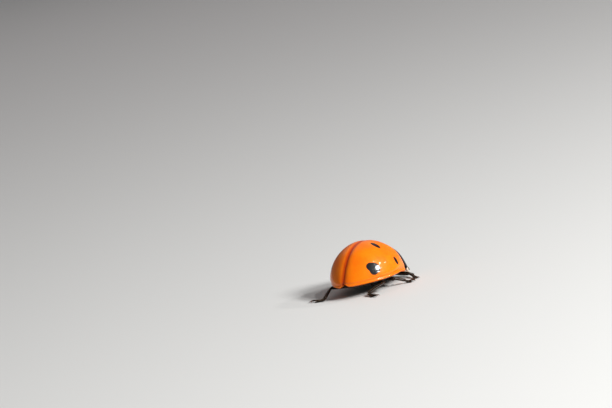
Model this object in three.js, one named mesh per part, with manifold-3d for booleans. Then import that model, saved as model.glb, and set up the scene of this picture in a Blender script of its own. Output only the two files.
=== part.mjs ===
// A seven-spot ladybird at rest on its six feet, at life size.
// Millimetres, +Z up. The head faces -Y, the left side is +X, and the feet stand on z = 0.
// The shell, the back plate and the belly are rounded domes that share one way of bulging; the limbs
// are turned profiles laid from joint to joint. Pieces are parted by thin cuts of the width PARTING.
import * as THREE from "three";
import { mergeVertices } from "three/addons/utils/BufferGeometryUtils.js";
import Module from "manifold-3d";

const wasm = await Module();
wasm.setup();

// ---- Driving dimensions ------------------------------------------------------------------------
const PARTING = 0.04; // width of the thin cut between neighbouring pieces
const FRONT_SHIFT = 0.36; // moves the whole body back, so that the origin is under its middle

const MARGIN_HEIGHT = 0.9; // height of the wing cases' lower edge over the floor
const SHELL_HALF_WIDTH = 2.8;
const SHELL_RISE = 2.86; // from the lower edge to the top of the shell
const SHELL_REAR = 2.95; // from the widest place back to the tip
const SHELL_FRONT = 3.45; // the same forward, if the shell weren't cut off by the back plate
const SHELL_WALL = 0.5;
const SHELL_PLAN_POWER = 1.9; // 2 is an ellipse, more is boxier
const SHELL_RISE_POWER = 1.8; // below 2 the top is a little pointed
const BELLY_DEPTH = 0.36; // how far the belly hangs below the shell's edge

const COLLAR_FRONT = 2.3; // where the shell's front edge meets the back plate on the midline
const COLLAR_RADIUS = 5; // that edge is an arc, whose middle lies furthest back
const WAIST_FRONT = -0.35; // between the thorax and the abdomen
const SCUTELLUM = { halfWidth: 0.34, length: 0.46 };

const PLATE_CENTRE = { forward: 1.75, up: MARGIN_HEIGHT + 0.15 };
const PLATE_PITCH = THREE.MathUtils.degToRad(20); // the back plate bends down towards the head
const PLATE_HALF_WIDTH = 1.9;
const PLATE_FRONT = 1.87;
const PLATE_RISE = 2.0;
const PLATE_WALL = 0.5;
const PLATE_PLAN_POWER = 3.2;
const PLATE_NOTCH_RADIUS = 2.5; // the hollow front edge that holds the head
const PLATE_NOTCH_FRONT = 1.35;
const CHEST_DEPTH = 0.3; // below the back plate's lower edge

const HEAD = { forward: 3.36, up: 1.04, halfWidth: 0.95, halfHeight: 0.72, halfLength: 0.56 };
const EYE = { forward: 3.52, side: 0.8, up: 1.1, radii: [0.27, 0.27, 0.36] };
const LIP = { forward: 3.74, up: 0.48, radii: [0.42, 0.24, 0.2] };

// Joints of the feelers and of the jaw feelers: how far forward, how far out, and how high.
const FEELER_RADIUS = 0.22;
const FEELER_CLUB_SWELL = 0.25; // the club is this share thicker than the rest
const FEELER_OVERLAP = 0.06; // the beads run into each other by this much
const FEELER_JOINTS = [
  [3.74, 0.52, 0.98],
  [4.0, 0.8, 0.68],
  [4.06, 1.04, 0.48],
  [4.02, 1.34, 0.34],
];
const PALP_RADIUS = 0.21;
const PALP_SWELL = 0.25;
const PALP_ROOT = [3.62, 0.42, 0.42];
const PALP_TIP = [3.94, 0.46, 0.28];

// Thickness of the limbs, as half-widths, and how flat they are from front to back.
const FEMUR_RADIUS = 0.27;
const TIBIA_RADIUS = 0.23;
const TARSUS_RADIUS = 0.23;
const TARSUS_HEIGHT = 0.16; // of the foot's axis over the floor, so that its sole is cut flat
const LIMB_FLATNESS = 0.8;

// Joints of each leg: how far forward, how far out to its own side, and how high.
const HIP_RADII = [0.36, 0.36, 0.26];
const HIP_INSET = 0.1; // the knob of the hip sits this much nearer the midline than the joint
const HIPS = { front: [2.7, 0.6, 0.45], middle: [1.0, 1.0, 0.5], hind: [-0.5, 1.05, 0.5] };
const LEGS = {
  front_left: { knee: [3.1, 1.65, 0.36], ankle: [3.7, 2.35, 0.24], toe: [4.0, 3.0] },
  front_right: { knee: [2.95, 1.9, 0.36], ankle: [2.4, 2.6, 0.24], toe: [2.05, 3.2] },
  middle_left: { knee: [0.7, 2.4, 0.6], ankle: [1.2, 3.15, 0.24], toe: [1.42, 3.85] },
  middle_right: { knee: [0.2, 2.35, 0.58], ankle: [0.95, 2.85, 0.24], toe: [1.35, 3.35] },
  hind_left: { knee: [-1.8, 2.2, 0.66], ankle: [-3.2, 1.95, 0.24], toe: [-3.39, 3.05] },
  hind_right: { knee: [-1.1, 2.35, 0.66], ankle: [-2.4, 1.62, 0.24], toe: [-2.68, 2.54] },
};
const CLAW = { radius: 0.15, taper: 0.05, rootInset: 0.16, reach: 0.16, height: 0.1 };

const FINISHES = {
  shell: { color: 0xf0660a, roughness: 0.22 },
  plate: { color: 0x0d0b0b, roughness: 0.3 },
  body: { color: 0x141110, roughness: 0.5 },
  eye: { color: 0x0a0a0c, roughness: 0.2 },
  leg: { color: 0x15110f, roughness: 0.4 },
  feeler: { color: 0x3a2418, roughness: 0.5 },
};

// ---- Places and solids -------------------------------------------------------------------------
/** A point of the body, from its distance forward, to the left and up. */
const at = (forward, left, up) => new THREE.Vector3(left, FRONT_SHIFT - forward, up);

/** A closed three.js geometry as a solid that can be cut and joined. */
function solidOf(geometry) {
  const bare = geometry.index ? geometry.toNonIndexed() : geometry.clone();
  bare.deleteAttribute("normal");
  bare.deleteAttribute("uv");
  const merged = mergeVertices(bare, 1e-4);
  return new wasm.Manifold(
    new wasm.Mesh({
      numProp: 3,
      vertProperties: merged.attributes.position.array,
      triVerts: new Uint32Array(merged.index.array),
    }),
  );
}

/** A solid as a three.js geometry with flat faces. */
function geometryOf(solid) {
  const { numProp, numVert, vertProperties, triVerts } = solid.getMesh();
  const places = new Float32Array(numVert * 3);
  for (let i = 0; i < numVert; i++) {
    places.set(vertProperties.subarray(i * numProp, i * numProp + 3), i * 3);
  }
  const geometry = new THREE.BufferGeometry();
  geometry.setAttribute("position", new THREE.BufferAttribute(places, 3));
  geometry.setIndex(new THREE.BufferAttribute(triVerts, 1));
  const flat = geometry.toNonIndexed();
  flat.computeVertexNormals();
  return flat;
}

/** A box from its lowest to its highest corner. */
function block(low, high) {
  const size = high.clone().sub(low);
  const middle = low.clone().add(high).divideScalar(2);
  return solidOf(new THREE.BoxGeometry(size.x, size.y, size.z).translate(middle.x, middle.y, middle.z));
}

/** An egg-shaped solid with its three half-axes along X, Y and Z, tipped forward by an angle. */
function egg(centre, radii, around = 18, rings = 12, tip = 0) {
  const ball = new THREE.SphereGeometry(1, around, rings);
  ball.rotateX(Math.PI / 2);
  ball.scale(...radii);
  ball.rotateX(tip);
  return solidOf(ball.translate(centre.x, centre.y, centre.z));
}

/**
 * A dome over a flat outline: an upper bulge of height `rise` and a lower one of depth `sink`.
 * The outline reaches `front` forward, `rear` back and `halfWidth` to each side. The ball is turned by
 * half a facet, so that the midline runs between two rows of corners.
 */
function dome({ halfWidth, front, rear, rise, sink, planPower, risePower, around, rings }) {
  const ball = new THREE.SphereGeometry(1, around, rings);
  ball.rotateX(Math.PI / 2);
  ball.rotateZ(Math.PI / around);
  const place = ball.getAttribute("position");
  for (let i = 0; i < place.count; i++) {
    const spread = Math.min(1, Math.hypot(place.getX(i), place.getY(i)));
    const turn = Math.atan2(place.getY(i), place.getX(i));
    const side = Math.sign(Math.cos(turn)) * Math.abs(Math.cos(turn)) ** (2 / planPower);
    const back = Math.sign(Math.sin(turn)) * Math.abs(Math.sin(turn)) ** (2 / planPower);
    const bulge = Math.sqrt(1 - spread ** risePower);
    place.setXYZ(
      i,
      halfWidth * side * spread,
      (back < 0 ? front : rear) * back * spread,
      place.getZ(i) >= 0 ? rise * bulge : -sink * bulge,
    );
  }
  return ball;
}

/** A turned solid whose axis runs from one point to another. `radius` gives its half-width along it. */
function limb(from, to, radius, { steps = 6, sides = 8, flatness = 1, grow = 0 } = {}) {
  const along = to.clone().sub(from);
  const length = along.length();
  const profile = [new THREE.Vector2(0, -grow)];
  for (let i = 1; i < steps; i++) {
    const share = (1 - Math.cos((Math.PI * i) / steps)) / 2;
    profile.push(new THREE.Vector2(radius(share) + grow, (length + 2 * grow) * share - grow));
  }
  profile.push(new THREE.Vector2(0, length + grow));
  const turned = new THREE.LatheGeometry(profile, sides);
  turned.scale(1, 1, flatness);
  const up = new THREE.Vector3(0, 0, 1);
  const axis = along.normalize();
  const across = new THREE.Vector3().crossVectors(axis, up).normalize();
  const through = new THREE.Vector3().crossVectors(across, axis);
  turned.applyMatrix4(new THREE.Matrix4().makeBasis(across, axis, through).setPosition(from));
  return solidOf(turned);
}

/** Everything in front of the arc where the shell's front edge meets the back plate. */
function aheadOfCollar(inset) {
  const drum = new THREE.CylinderGeometry(COLLAR_RADIUS - inset, COLLAR_RADIUS - inset, 12, 96);
  drum.rotateX(Math.PI / 2);
  const middle = at(COLLAR_FRONT + COLLAR_RADIUS, 0, 0);
  return solidOf(drum.translate(middle.x, middle.y, middle.z));
}

/** Everything above the lower edge of the shell. */
const aboveMargin = block(new THREE.Vector3(-6, -8, MARGIN_HEIGHT), new THREE.Vector3(6, 8, 8));

/** One side of the seam between the wing cases. */
function sideOfSeam(side) {
  const [near, far] = [side * (PARTING / 2), side * 6];
  const low = new THREE.Vector3(Math.min(near, far), -8, 0);
  const high = new THREE.Vector3(Math.max(near, far), 8, 8);
  return aboveMargin.intersect(block(low, high));
}

/** The part of the body between two distances forward. */
const stretch = (rear, front) => block(at(front, -6, -4), at(rear, 6, 8));

// ---- Shell and trunk ---------------------------------------------------------------------------
/** The shell's dome, shrunk evenly by an inset. */
function shellDome(inset, around, rings) {
  const shape = dome({
    halfWidth: SHELL_HALF_WIDTH - inset,
    front: SHELL_FRONT - inset,
    rear: SHELL_REAR - inset,
    rise: SHELL_RISE - inset,
    sink: BELLY_DEPTH,
    planPower: SHELL_PLAN_POWER,
    risePower: SHELL_RISE_POWER,
    around,
    rings,
  });
  const centre = at(0, 0, MARGIN_HEIGHT);
  return solidOf(shape.translate(centre.x, centre.y, centre.z));
}

/** The back plate's dome, which is tipped towards the head, shrunk evenly by an inset. */
function plateDome(inset, around, rings) {
  const shape = dome({
    halfWidth: PLATE_HALF_WIDTH - inset,
    front: PLATE_FRONT - inset,
    rear: PLATE_FRONT - inset,
    rise: PLATE_RISE - inset,
    sink: CHEST_DEPTH,
    planPower: PLATE_PLAN_POWER,
    risePower: SHELL_RISE_POWER,
    around,
    rings,
  });
  return solidOf(tipped(shape));
}

/** Turns a shape from the back plate's own level frame to its place on the body. */
function tipped(shape) {
  const centre = at(PLATE_CENTRE.forward, 0, PLATE_CENTRE.up);
  return shape.rotateX(PLATE_PITCH).translate(centre.x, centre.y, centre.z);
}

/** The space under the back plate's lower edge. */
function belowPlate() {
  return solidOf(tipped(new THREE.BoxGeometry(8, 8, 4).translate(0, 0, -2)));
}

/** The drum that hollows the front edge of the back plate. */
function plateNotch() {
  const drum = new THREE.CylinderGeometry(PLATE_NOTCH_RADIUS, PLATE_NOTCH_RADIUS, 8, 64);
  drum.rotateX(Math.PI / 2);
  return solidOf(tipped(drum.translate(0, -(PLATE_NOTCH_FRONT + PLATE_NOTCH_RADIUS), 0)));
}

/** The small triangle between the wing cases' front corners, a little larger where `grow` is given. */
function scutellum(grow = 0) {
  const corner = at(COLLAR_FRONT, 0, 0);
  const width = SCUTELLUM.halfWidth + grow;
  const outline = new THREE.Shape([
    new THREE.Vector2(-width, corner.y - SCUTELLUM.length),
    new THREE.Vector2(width, corner.y - SCUTELLUM.length),
    new THREE.Vector2(width, corner.y),
    new THREE.Vector2(0, corner.y + SCUTELLUM.length + 2 * grow),
    new THREE.Vector2(-width, corner.y),
  ]);
  return solidOf(new THREE.ExtrudeGeometry(outline, { depth: 6, bevelEnabled: false }));
}

const outerShell = shellDome(0, 44, 22);
const innerShell = shellDome(SHELL_WALL, 28, 14);
const trunkSpace = shellDome(SHELL_WALL + PARTING, 28, 14);
const aheadOfShell = aheadOfCollar(0);
const shell = outerShell.subtract(innerShell).subtract(aheadOfShell);

// ---- Head --------------------------------------------------------------------------------------
function headShape(grow) {
  const { forward, up, halfWidth, halfHeight, halfLength } = HEAD;
  const radii = [halfWidth + grow, halfLength + grow, halfHeight + grow];
  return egg(at(forward, 0, up), radii, 18, 12, PLATE_PITCH);
}

function eyeShape(side, grow) {
  return egg(at(EYE.forward, side * EYE.side, EYE.up), EYE.radii.map((r) => r + grow), 12, 8);
}

const lipShape = egg(at(LIP.forward, 0, LIP.up), LIP.radii, 12, 8);

/** A feeler: a scape, a thin run of joints and a club, as one bent row of beads. */
function feeler(side) {
  const joints = FEELER_JOINTS.map(([forward, out, up]) => at(forward, side * out, up));
  const club = joints.length - 2;
  const beads = joints.slice(0, -1).map((joint, i) => {
    const swell = i === club ? FEELER_CLUB_SWELL : 0;
    const radius = (t) => FEELER_RADIUS * (1 + swell * Math.sin(Math.PI * t));
    return limb(joint, joints[i + 1], radius, { steps: 4, grow: FEELER_OVERLAP });
  });
  return beads.reduce((whole, bead) => whole.add(bead));
}

/** A jaw feeler: a short stalk with a broad, blunt last joint. */
function palp(side) {
  const [root, tip] = [PALP_ROOT, PALP_TIP].map(([forward, out, up]) => at(forward, side * out, up));
  return limb(root, tip, (t) => PALP_RADIUS * (1 + PALP_SWELL * t), { steps: 4 });
}

// ---- Legs --------------------------------------------------------------------------------------
const femurRadius = (t) => FEMUR_RADIUS * (0.72 + 0.28 * Math.sin(Math.PI * Math.min(1, 0.15 + 0.9 * t)));
const tibiaRadius = (t) => TIBIA_RADIUS * (0.94 + 0.14 * t);
const tarsusRadius = (t) => TARSUS_RADIUS * (1 + 0.12 * Math.sin(2.4 * Math.PI * t));

/** The three lengths of one leg and the knob of the hip, all trimmed to each other. */
function leg(name) {
  const [word, sideWord] = name.split("_");
  const side = sideWord === "left" ? 1 : -1;
  const { knee, ankle, toe } = LEGS[name];
  const joints = [HIPS[word], knee, ankle, [...toe, TARSUS_HEIGHT]];
  const [hipAt, kneeAt, ankleAt, toeAt] = joints.map(([forward, out, up]) => at(forward, side * out, up));
  const heelAt = ankleAt.clone().setZ(TARSUS_HEIGHT);
  const femur = (grow) => limb(hipAt, kneeAt, femurRadius, { flatness: LIMB_FLATNESS, grow });
  const tibia = (grow) => limb(kneeAt, ankleAt, tibiaRadius, { steps: 6, grow });
  const floor = block(new THREE.Vector3(-9, -9, -2), new THREE.Vector3(9, 9, 0));
  const foot = limb(heelAt, toeAt, tarsusRadius, { steps: 8 }).add(claws(heelAt, toeAt)).subtract(floor);
  return {
    name,
    femur: femur(0),
    tibia: tibia(0).subtract(femur(PARTING)).subtract(floor),
    tarsus: foot.subtract(tibia(PARTING)),
    room: femur(PARTING),
    hip: egg(hipAt.clone().setX(hipAt.x - side * HIP_INSET), HIP_RADII, 10, 6),
  };
}

/** Two short claws that spread from the toe. */
function claws(heel, toe) {
  const along = toe.clone().sub(heel).normalize();
  const across = new THREE.Vector3(-along.y, along.x, 0);
  const root = toe.clone().addScaledVector(along, -CLAW.rootInset);
  const radius = (t) => CLAW.radius - CLAW.taper * t;
  const claw = (side) => {
    const tip = toe.clone().addScaledVector(along, CLAW.reach).addScaledVector(across, side * CLAW.reach);
    return limb(root, tip.setZ(CLAW.height), radius, { steps: 4, sides: 6 });
  };
  return claw(1).add(claw(-1));
}

// ---- Assembly ----------------------------------------------------------------------------------
const ladybird = new THREE.Group();

/** Adds one named piece in one of the finishes. */
function addPiece(name, solid, finish) {
  const material = new THREE.MeshStandardMaterial({ ...FINISHES[finish], metalness: 0 });
  const mesh = new THREE.Mesh(geometryOf(solid), material);
  mesh.name = name;
  ladybird.add(mesh);
}

/** Cuts several solids out of one. */
const without = (solid, ...others) => others.reduce((rest, other) => rest.subtract(other), solid);

/** Joins several solids to one. */
const joined = (solid, others) => others.reduce((whole, other) => whole.add(other), solid);

const legs = Object.keys(LEGS).map(leg);
const legRoom = legs.map(({ room }) => room);
const hipsOf = (word) => legs.filter(({ name }) => name.startsWith(word)).map(({ hip }) => hip);
const grownEyes = [eyeShape(1, PARTING), eyeShape(-1, PARTING)];

addPiece("elytron_left", without(shell.intersect(sideOfSeam(1)), scutellum(PARTING)), "shell");
addPiece("elytron_right", without(shell.intersect(sideOfSeam(-1)), scutellum(PARTING)), "shell");
addPiece("scutellum", shell.intersect(scutellum()).intersect(aboveMargin), "plate");

const plate = plateDome(0, 32, 16).subtract(plateDome(PLATE_WALL, 20, 10)).intersect(aheadOfCollar(PARTING));
addPiece("pronotum", without(plate, belowPlate(), plateNotch(), headShape(PARTING), ...grownEyes), "plate");

const chest = plateDome(PLATE_WALL + PARTING, 20, 10).intersect(aheadOfCollar(PARTING));
const prothorax = joined(chest, hipsOf("front"));
addPiece("prothorax", without(prothorax, headShape(PARTING), ...grownEyes, ...legRoom), "body");

const chestSpace = trunkSpace.intersect(stretch(WAIST_FRONT, 4));
const thorax = joined(chestSpace, [...hipsOf("middle"), ...hipsOf("hind")]);
addPiece("thorax", without(thorax, aheadOfCollar(0), ...legRoom), "body");

const abdomen = trunkSpace.intersect(stretch(-4, WAIST_FRONT - PARTING));
addPiece("abdomen", without(abdomen, ...legRoom, ...hipsOf("hind")), "body");

addPiece("head", without(headShape(0), ...grownEyes), "plate");
addPiece("labrum", without(lipShape, headShape(PARTING)), "feeler");
for (const [name, side] of [["left", 1], ["right", -1]]) {
  addPiece(`eye_${name}`, eyeShape(side, 0), "eye");
  addPiece(`antenna_${name}`, without(feeler(side), headShape(PARTING), ...grownEyes), "feeler");
  addPiece(`palp_${name}`, without(palp(side), headShape(PARTING), lipShape), "feeler");
}
for (const { name, femur, tibia, tarsus } of legs) {
  addPiece(`femur_${name}`, femur, "leg");
  addPiece(`tibia_${name}`, tibia, "leg");
  addPiece(`tarsus_${name}`, tarsus, "leg");
}

export default ladybird;
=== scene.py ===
"""The looks of a seven-spot ladybird at rest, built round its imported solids.

Each piece is modelled in millimetres in the insect's own frame, with the head towards -Y, its left side at +X and the
feet on z = 0, and is brought to metres when it is finished.
"""

import logging
import math
import random
from contextlib import contextmanager
from dataclasses import dataclass, field, replace
from enum import Enum
from typing import Callable, Iterator, Sequence

import bmesh
import bpy
from mathutils import Matrix, Vector

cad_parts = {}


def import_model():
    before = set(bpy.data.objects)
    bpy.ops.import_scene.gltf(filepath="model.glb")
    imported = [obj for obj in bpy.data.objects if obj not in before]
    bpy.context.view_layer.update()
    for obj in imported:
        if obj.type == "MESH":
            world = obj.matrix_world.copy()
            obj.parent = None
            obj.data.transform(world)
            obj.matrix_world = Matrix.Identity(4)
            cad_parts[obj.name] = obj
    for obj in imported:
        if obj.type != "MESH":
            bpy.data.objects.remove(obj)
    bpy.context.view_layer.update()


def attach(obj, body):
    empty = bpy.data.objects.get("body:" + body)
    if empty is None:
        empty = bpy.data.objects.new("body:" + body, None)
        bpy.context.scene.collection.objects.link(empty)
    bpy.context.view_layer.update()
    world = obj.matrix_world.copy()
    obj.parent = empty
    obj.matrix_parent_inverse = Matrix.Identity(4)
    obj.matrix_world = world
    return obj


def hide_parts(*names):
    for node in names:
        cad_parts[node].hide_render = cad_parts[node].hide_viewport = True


LOG = logging.getLogger("ladybird")

MILLIMETRE = 0.001
BODY = "root"
FRONT_SHIFT = 0.36
MARGIN_HEIGHT = 0.9
SHARP_ANGLE = math.radians(50)

Place = tuple[float, float, float]


def at(forward: float, left: float, up: float) -> Vector:
    """A point of the body, from how far forward, to the left and up it is."""
    return Vector((left, FRONT_SHIFT - forward, up))


class Side(Enum):
    """The insect's own two sides."""

    LEFT = 1
    RIGHT = -1

    @property
    def word(self) -> str:
        """The side's word in a node's name."""
        return self.name.lower()


class Pair(Enum):
    """The three pairs of legs."""

    FRONT = "front"
    MIDDLE = "middle"
    HIND = "hind"


class Element(Enum):
    """What is picked in edit mode."""

    EDGE = "EDGE"
    FACE = "FACE"


# ---- Workbench ---------------------------------------------------------------------------------


def clear_selection() -> None:
    """Leaves edit mode and deselects every object."""
    if bpy.context.object is not None and bpy.context.object.mode != "OBJECT":
        bpy.ops.object.mode_set(mode="OBJECT")
    bpy.ops.object.select_all(action="DESELECT")


def activate(piece: bpy.types.Object) -> None:
    """Makes one piece the only selected and the active one.

    Args:
        piece: The piece.
    """
    clear_selection()
    piece.select_set(True)
    bpy.context.view_layer.objects.active = piece


@contextmanager
def editing(piece: bpy.types.Object, everything: bool = False) -> Iterator[None]:
    """Edit mode on one piece, with nothing or everything of it selected at first.

    Args:
        piece: The piece.
        everything: Whether all of it is selected.

    Yields:
        Nothing; edit mode ends when the block does.
    """
    activate(piece)
    bpy.ops.object.mode_set(mode="EDIT")
    bpy.ops.mesh.select_all(action="SELECT" if everything else "DESELECT")
    yield
    bpy.ops.object.mode_set(mode="OBJECT")


def pick(piece: bpy.types.Object, kind: Element, test: Callable[[object], bool]) -> None:
    """Selects, in edit mode, what passes a test.

    Args:
        piece: The piece in edit mode.
        kind: Whether edges or faces are picked.
        test: Says of one edge or face whether it is wanted.
    """
    bpy.context.tool_settings.mesh_select_mode = (False, kind is Element.EDGE, kind is Element.FACE)
    mesh = bmesh.from_edit_mesh(piece.data)
    mesh.select_mode = {kind.value}
    for member in mesh.edges if kind is Element.EDGE else mesh.faces:
        member.select_set(test(member))
    mesh.select_flush_mode()
    bmesh.update_edit_mesh(piece.data)


def cut(piece: bpy.types.Object, point: Sequence[float], normal: Sequence[float], clear: bool = False,
        fill: bool = False) -> None:
    """Bisects a whole piece by a plane.

    Args:
        piece: The piece.
        point: A point of the plane.
        normal: The plane's normal.
        clear: Whether what lies on the normal's side is removed.
        fill: Whether the cut is closed with a face.
    """
    with editing(piece, everything=True):
        bpy.ops.mesh.bisect(plane_co=point, plane_no=normal, clear_outer=clear, use_fill=fill)


def reshape(piece: bpy.types.Object, move: Callable[[Vector, Vector], Vector]) -> None:
    """Moves each vertex of a piece.

    Args:
        piece: The piece.
        move: Gives a vertex's new place from its place and its normal.
    """
    mesh = piece.data
    mesh.update()
    normals = [vertex.normal.copy() for vertex in mesh.vertices]
    for vertex, normal in zip(mesh.vertices, normals):
        vertex.co = move(vertex.co.copy(), normal)
    mesh.update()


def cut_along(piece: bpy.types.Object, wall: Callable[[float], float], ahead: bool, fill: bool = False) -> None:
    """Cuts a piece along an upright curved wall, by straightening it, bisecting it and bending it back.

    Args:
        piece: The piece.
        wall: Gives the wall's y at an x.
        ahead: Whether the part towards -Y is removed, or else the part towards +Y.
        fill: Whether the cut is closed.
    """
    reshape(piece, lambda place, _: place - Vector((0, wall(place.x), 0)))
    cut(piece, (0, 0, 0), (0, -1 if ahead else 1, 0), clear=True, fill=fill)
    reshape(piece, lambda place, _: place + Vector((0, wall(place.x), 0)))


def modify(piece: bpy.types.Object, kind: str, **settings: object) -> None:
    """Adds one modifier with its settings and applies it.

    Args:
        piece: The piece.
        kind: The modifier's type.
        **settings: Values of the modifier's own settings.
    """
    activate(piece)
    modifier = piece.modifiers.new(kind.title(), kind)
    for name, value in settings.items():
        setattr(modifier, name, value)
    bpy.ops.object.modifier_apply(modifier=modifier.name)


def smooth(piece: bpy.types.Object, levels: int = 1) -> None:
    """Subdivides a piece to a smooth surface."""
    modify(piece, "SUBSURF", levels=levels, render_levels=levels)


def rounded(piece: bpy.types.Object, width: float, segments: int = 2, angle: float = 55.0) -> None:
    """Bevels the edges of a piece that are sharper than an angle in degrees."""
    modify(piece, "BEVEL", width=width, segments=segments, limit_method="ANGLE", angle_limit=math.radians(angle))


def merge(piece: bpy.types.Object, distance: float) -> None:
    """Merges the corners that lie nearer to each other than a distance."""
    with editing(piece, everything=True):
        bpy.ops.mesh.remove_doubles(threshold=distance)


def folded(folds: Sequence[tuple[float, float]], centre: Vector) -> None:
    """Extrudes the picked edges, in edit mode, into folds.

    Args:
        folds: How far each fold drops, and how it shrinks towards the centre.
        centre: The centre.
    """
    for drop, shrink in folds:
        bpy.ops.mesh.extrude_region_move(TRANSFORM_OT_translate={"value": (0, 0, -drop)})
        bpy.ops.transform.resize(value=(shrink, shrink, 1), center_override=tuple(centre))


def face_out(piece: bpy.types.Object) -> None:
    """Merges doubles and turns every face of a closed piece outwards.

    Args:
        piece: The piece, which is closed.
    """
    with editing(piece, everything=True):
        bpy.ops.mesh.remove_doubles(threshold=1e-5)
        bpy.ops.mesh.normals_make_consistent(inside=False)


def settle(piece: bpy.types.Object, matrix: Matrix) -> bpy.types.Object:
    """Moves a piece's mesh by a matrix, and keeps its faces outwards.

    Args:
        piece: The piece.
        matrix: Where it goes.

    Returns:
        The same piece.
    """
    piece.matrix_world = matrix
    activate(piece)
    bpy.ops.object.transform_apply(location=True, rotation=True, scale=True)
    face_out(piece)
    return piece


def copied(piece: bpy.types.Object) -> bpy.types.Object:
    """A copy of a piece, with a mesh of its own.

    Args:
        piece: The pattern.

    Returns:
        The copy.
    """
    activate(piece)
    bpy.ops.object.duplicate(linked=False)
    return bpy.context.view_layer.objects.active


def mirrored(piece: bpy.types.Object) -> bpy.types.Object:
    """A copy of a piece for the other side of the body."""
    return settle(copied(piece), Matrix.Diagonal((-1, 1, 1, 1)))


def joined(pieces: Sequence[bpy.types.Object]) -> bpy.types.Object:
    """Several pieces as one object.

    Args:
        pieces: The pieces; the first one takes in the others.

    Returns:
        The first piece.
    """
    activate(pieces[0])
    for piece in pieces:
        piece.select_set(True)
    bpy.ops.object.join()
    return pieces[0]


def removed(pieces: Sequence[bpy.types.Object]) -> None:
    """Deletes patterns that have been copied and are no longer needed."""
    for piece in pieces:
        bpy.data.objects.remove(piece)


def ball(cuts: int) -> bpy.types.Object:
    """A unit ball with even square faces, made from a cube.

    Args:
        cuts: Cuts of each side of the cube.

    Returns:
        The new piece.
    """
    clear_selection()
    bpy.ops.mesh.primitive_cube_add(size=2)
    piece = bpy.context.object
    with editing(piece, everything=True):
        bpy.ops.mesh.subdivide(number_cuts=cuts)
    reshape(piece, lambda place, _: Vector([math.tan(part * math.pi / 4) for part in place]).normalized())
    return piece


@dataclass(frozen=True)
class Ring:
    """One ring of a drawn-out shape: where it is and how wide and high it is, as half-sizes."""

    along: float
    wide: float
    high: float
    across: float = 0.0
    up: float = 0.0


def drawn_out(rings: Sequence[Ring], sides: int = 12, levels: int = 1) -> bpy.types.Object:
    """A closed shape along +X, extruded ring by ring from a disc.

    Args:
        rings: The rings, in order.
        sides: Corners of each ring.
        levels: Subdivision levels.

    Returns:
        The new piece.
    """
    first = rings[0]
    clear_selection()
    bpy.ops.mesh.primitive_circle_add(vertices=sides, radius=1, fill_type="NGON", rotation=(0, math.pi / 2, 0))
    piece = bpy.context.object
    bpy.ops.object.transform_apply(location=True, rotation=True, scale=True)
    reshape(piece, lambda p, _: Vector((first.along, first.across + p.y * first.wide, first.up + p.z * first.high)))
    with editing(piece, everything=True):
        for last, ring in zip(rings, rings[1:]):
            step = (ring.along - last.along, ring.across - last.across, ring.up - last.up)
            bpy.ops.mesh.extrude_region_move(TRANSFORM_OT_translate={"value": step})
            bpy.ops.transform.resize(
                value=(1, ring.wide / last.wide, ring.high / last.high),
                center_override=(ring.along, ring.across, ring.up),
            )
    face_out(piece)
    smooth(piece, levels)
    return piece


def laid(start: Vector, end: Vector) -> Matrix:
    """The matrix that lays a piece of length 1, made along +X, from one point to another.

    Args:
        start: Where the piece's origin goes.
        end: Where its tip points.

    Returns:
        The matrix, whose Z stays as upright as it can.
    """
    along = end - start
    length = along.length
    along.normalize()
    across = Vector((0, 0, 1)).cross(along).normalized()
    upright = along.cross(across)
    turn = Matrix((along, across, upright)).transposed().to_4x4()
    return Matrix.Translation(start) @ turn @ Matrix.Diagonal((length, 1, 1, 1))


def finished(piece: bpy.types.Object, name: str, nodes: Sequence[str],
             material: bpy.types.Material) -> None:
    """Brings a piece to metres, dresses it, and lets it stand for its solids.

    Args:
        piece: The piece, in millimetres.
        name: Its name.
        nodes: The solids it replaces.
        material: Its finish.
    """
    piece.name = name
    piece.data.name = name
    piece.matrix_world = Matrix.Scale(MILLIMETRE, 4)
    activate(piece)
    bpy.ops.object.transform_apply(location=True, rotation=True, scale=True)
    bpy.ops.object.shade_smooth_by_angle(angle=SHARP_ANGLE)
    piece.data.materials.clear()
    piece.data.materials.append(material)
    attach(piece, BODY)
    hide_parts(*nodes)
    LOG.info("%s: %d faces", name, len(piece.data.polygons))


def finished_pair(left: bpy.types.Object, name: str, node: str, material: bpy.types.Material) -> None:
    """Finishes a left piece and its mirror copy, each named after its own side.

    Args:
        left: The left piece, in millimetres.
        name: The pieces' name without its side.
        node: The solids' name without its side.
        material: Their finish.
    """
    right = mirrored(left)
    for side, piece in ((Side.LEFT, left), (Side.RIGHT, right)):
        finished(piece, f"{name}_{side.word}", [f"{node}_{side.word}"], material)


# ---- Finishes ----------------------------------------------------------------------------------

Colour = tuple[float, float, float]


@dataclass(frozen=True)
class Mark:
    """A patch of colour: the part of the surface inside an egg, or inside a few eggs that flow together."""

    centre: Vector
    radii: tuple[float, float, float]
    colour: Colour
    edge: float = 0.06
    ragged: float = 0.05
    corners: tuple[Vector, ...] = ()
    flow: float = 1.0


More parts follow.
